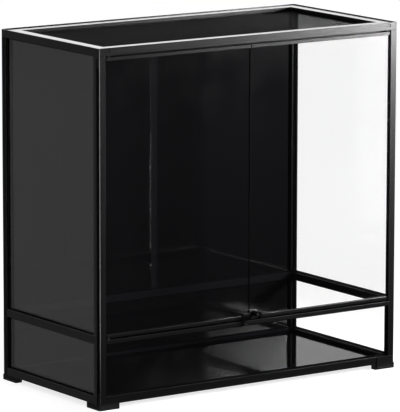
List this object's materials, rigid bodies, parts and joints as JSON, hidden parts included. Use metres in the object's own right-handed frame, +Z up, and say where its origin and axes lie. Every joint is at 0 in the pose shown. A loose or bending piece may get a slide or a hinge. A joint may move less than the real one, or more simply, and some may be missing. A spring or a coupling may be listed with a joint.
{
  "type": "reptile terrarium",
  "caption": "Tall front-opening reptile terrarium with a black slotted aluminium frame, clear glass sides, hinged glass doors and a screen top.",
  "frame": {"origin": "middle of the plane that the four feet stand on", "axes": "+X to the right seen from the doors, +Y from the doors to the back, +Z up"},
  "size_m": [0.914, 0.4888, 0.904],
  "materials": {
    "frame_black": "black anodised, satin",
    "moulded_black": "fine moulded grain",
    "board_black": "smooth, glossy",
    "rubber_black": "matt",
    "clear_glass": "clear float glass",
    "satin_steel": "satin",
    "bright_chrome": "plated, bright",
    "screen_grey": "woven, matt"
  },
  "bodies": {
    "cabinet": {"post_front_left": "frame_black", "post_front_right": "frame_black", "post_back_left": "frame_black", "post_back_right": "frame_black", "bottom_rail_front": "frame_black", "bottom_rail_back": "frame_black", "bottom_rail_left": "frame_black", "bottom_rail_right": "frame_black", "mid_rail_front": "frame_black", "mid_rail_back": "frame_black", "mid_rail_left": "frame_black", "mid_rail_right": "frame_black", "top_rail_front": "frame_black", "top_rail_back": "frame_black", "top_rail_left": "frame_black", "top_rail_right": "frame_black", "top_corner_front_left": "frame_black", "top_corner_front_right": "frame_black", "top_corner_back_left": "frame_black", "top_corner_back_right": "frame_black", "foot_front_left": "moulded_black", "foot_front_right": "moulded_black", "foot_back_left": "moulded_black", "foot_back_right": "moulded_black", "glass_left_upper": "clear_glass", "glass_left_lower": "clear_glass", "glass_right_upper": "clear_glass", "glass_right_lower": "clear_glass", "glass_front_lower": "clear_glass", "glass_seals": "rubber_black", "back_board_left": "board_black", "back_board_right": "board_black", "back_board_lower": "board_black", "back_joint_strip": "frame_black", "floor_board": "board_black", "door_stop_top": "frame_black", "door_stop_bottom": "frame_black", "pivot_bushes": "satin_steel"},
    "left_door": {"door_left_glass": "clear_glass", "door_left_top_rail": "frame_black", "door_left_bottom_rail": "frame_black", "door_left_pivots": "frame_black", "door_left_edge_seal": "rubber_black", "lock_pull": "moulded_black"},
    "right_door": {"door_right_glass": "clear_glass", "door_right_top_rail": "frame_black", "door_right_bottom_rail": "frame_black", "door_right_pivots": "frame_black", "lock_barrel": "bright_chrome", "lock_nut": "satin_steel"},
    "lock_core": {"lock_plug": "satin_steel", "lock_cam": "satin_steel"},
    "key": {"lock_key": "bright_chrome"},
    "screen_top": {"screen_border_front": "frame_black", "screen_border_back": "frame_black", "screen_border_left": "frame_black", "screen_border_right": "frame_black", "screen_mesh": "screen_grey"}
  },
  "joints": [
    {"name": "left_door_hinge", "type": "hinge", "parent": "cabinet", "child": "left_door", "pos_m": [-0.426, -0.2185, 0.5], "axis": [0, 0, 1], "range_deg": [-110, 0]},
    {"name": "right_door_hinge", "type": "hinge", "parent": "cabinet", "child": "right_door", "pos_m": [0.426, -0.2185, 0.5], "axis": [0, 0, 1], "range_deg": [0, 110]},
    {"name": "lock_turn", "type": "hinge", "parent": "right_door", "child": "lock_core", "pos_m": [0.0092, -0.22, 0.195], "axis": [0, 1, 0], "range_deg": [0, 90]},
    {"name": "key_slide", "type": "slide", "parent": "lock_core", "child": "key", "axis": [0, -1, 0], "range_m": [0, 0.02]},
    {"name": "screen_lift", "type": "slide", "parent": "cabinet", "child": "screen_top", "axis": [0, 0, 1], "range_m": [0, 0.06]}
  ]
}
